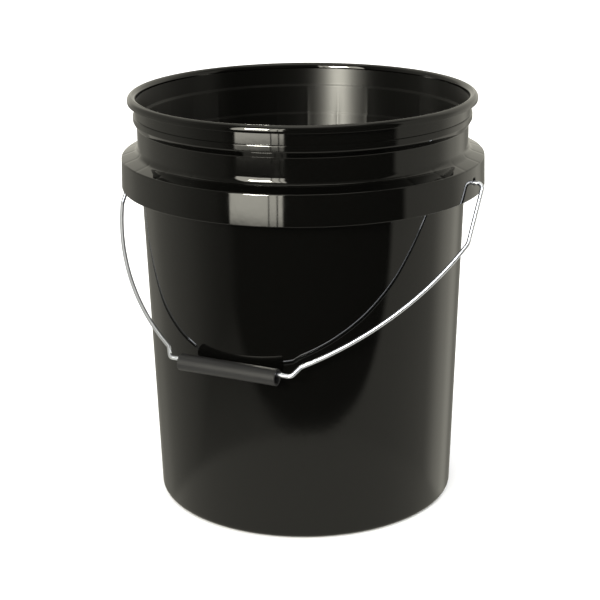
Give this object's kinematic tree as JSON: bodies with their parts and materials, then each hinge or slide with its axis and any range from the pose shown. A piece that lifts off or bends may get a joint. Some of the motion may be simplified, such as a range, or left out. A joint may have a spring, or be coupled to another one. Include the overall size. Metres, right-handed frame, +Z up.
{
  "type": "wash bucket",
  "caption": "Open-head plastic wash bucket with a stepped neck, a ribbed skirt and a swinging wire bail that carries a loose tube grip.",
  "frame": {"origin": "centre of the pail's foot ring, on the ground plane", "axes": "+Z up along the pail's centre line; X from bail ear to bail ear; the bail at rest hangs against the -Y side"},
  "size_m": [0.3384, 0.3188, 0.363],
  "materials": {
    "pail_plastic": "glossy black moulded polyethylene",
    "bail_wire": "bright zinc-plated drawn wire",
    "grip_plastic": "satin black moulded tube"
  },
  "bodies": {
    "pail": {"pail": "pail_plastic"},
    "bail": {"bail": "bail_wire"},
    "grip": {"grip": "grip_plastic"}
  },
  "joints": [
    {"name": "bail_swing", "type": "hinge", "parent": "pail", "child": "bail", "pos_m": [0, 0, 0.2965], "axis": [-1, 0, 0], "range_deg": [0, 268.4]},
    {"name": "grip_spin", "type": "hinge", "parent": "bail", "child": "grip", "pos_m": [0, -0.14582, 0.15466], "axis": [1, 0, 0], "continuous": true}
  ]
}
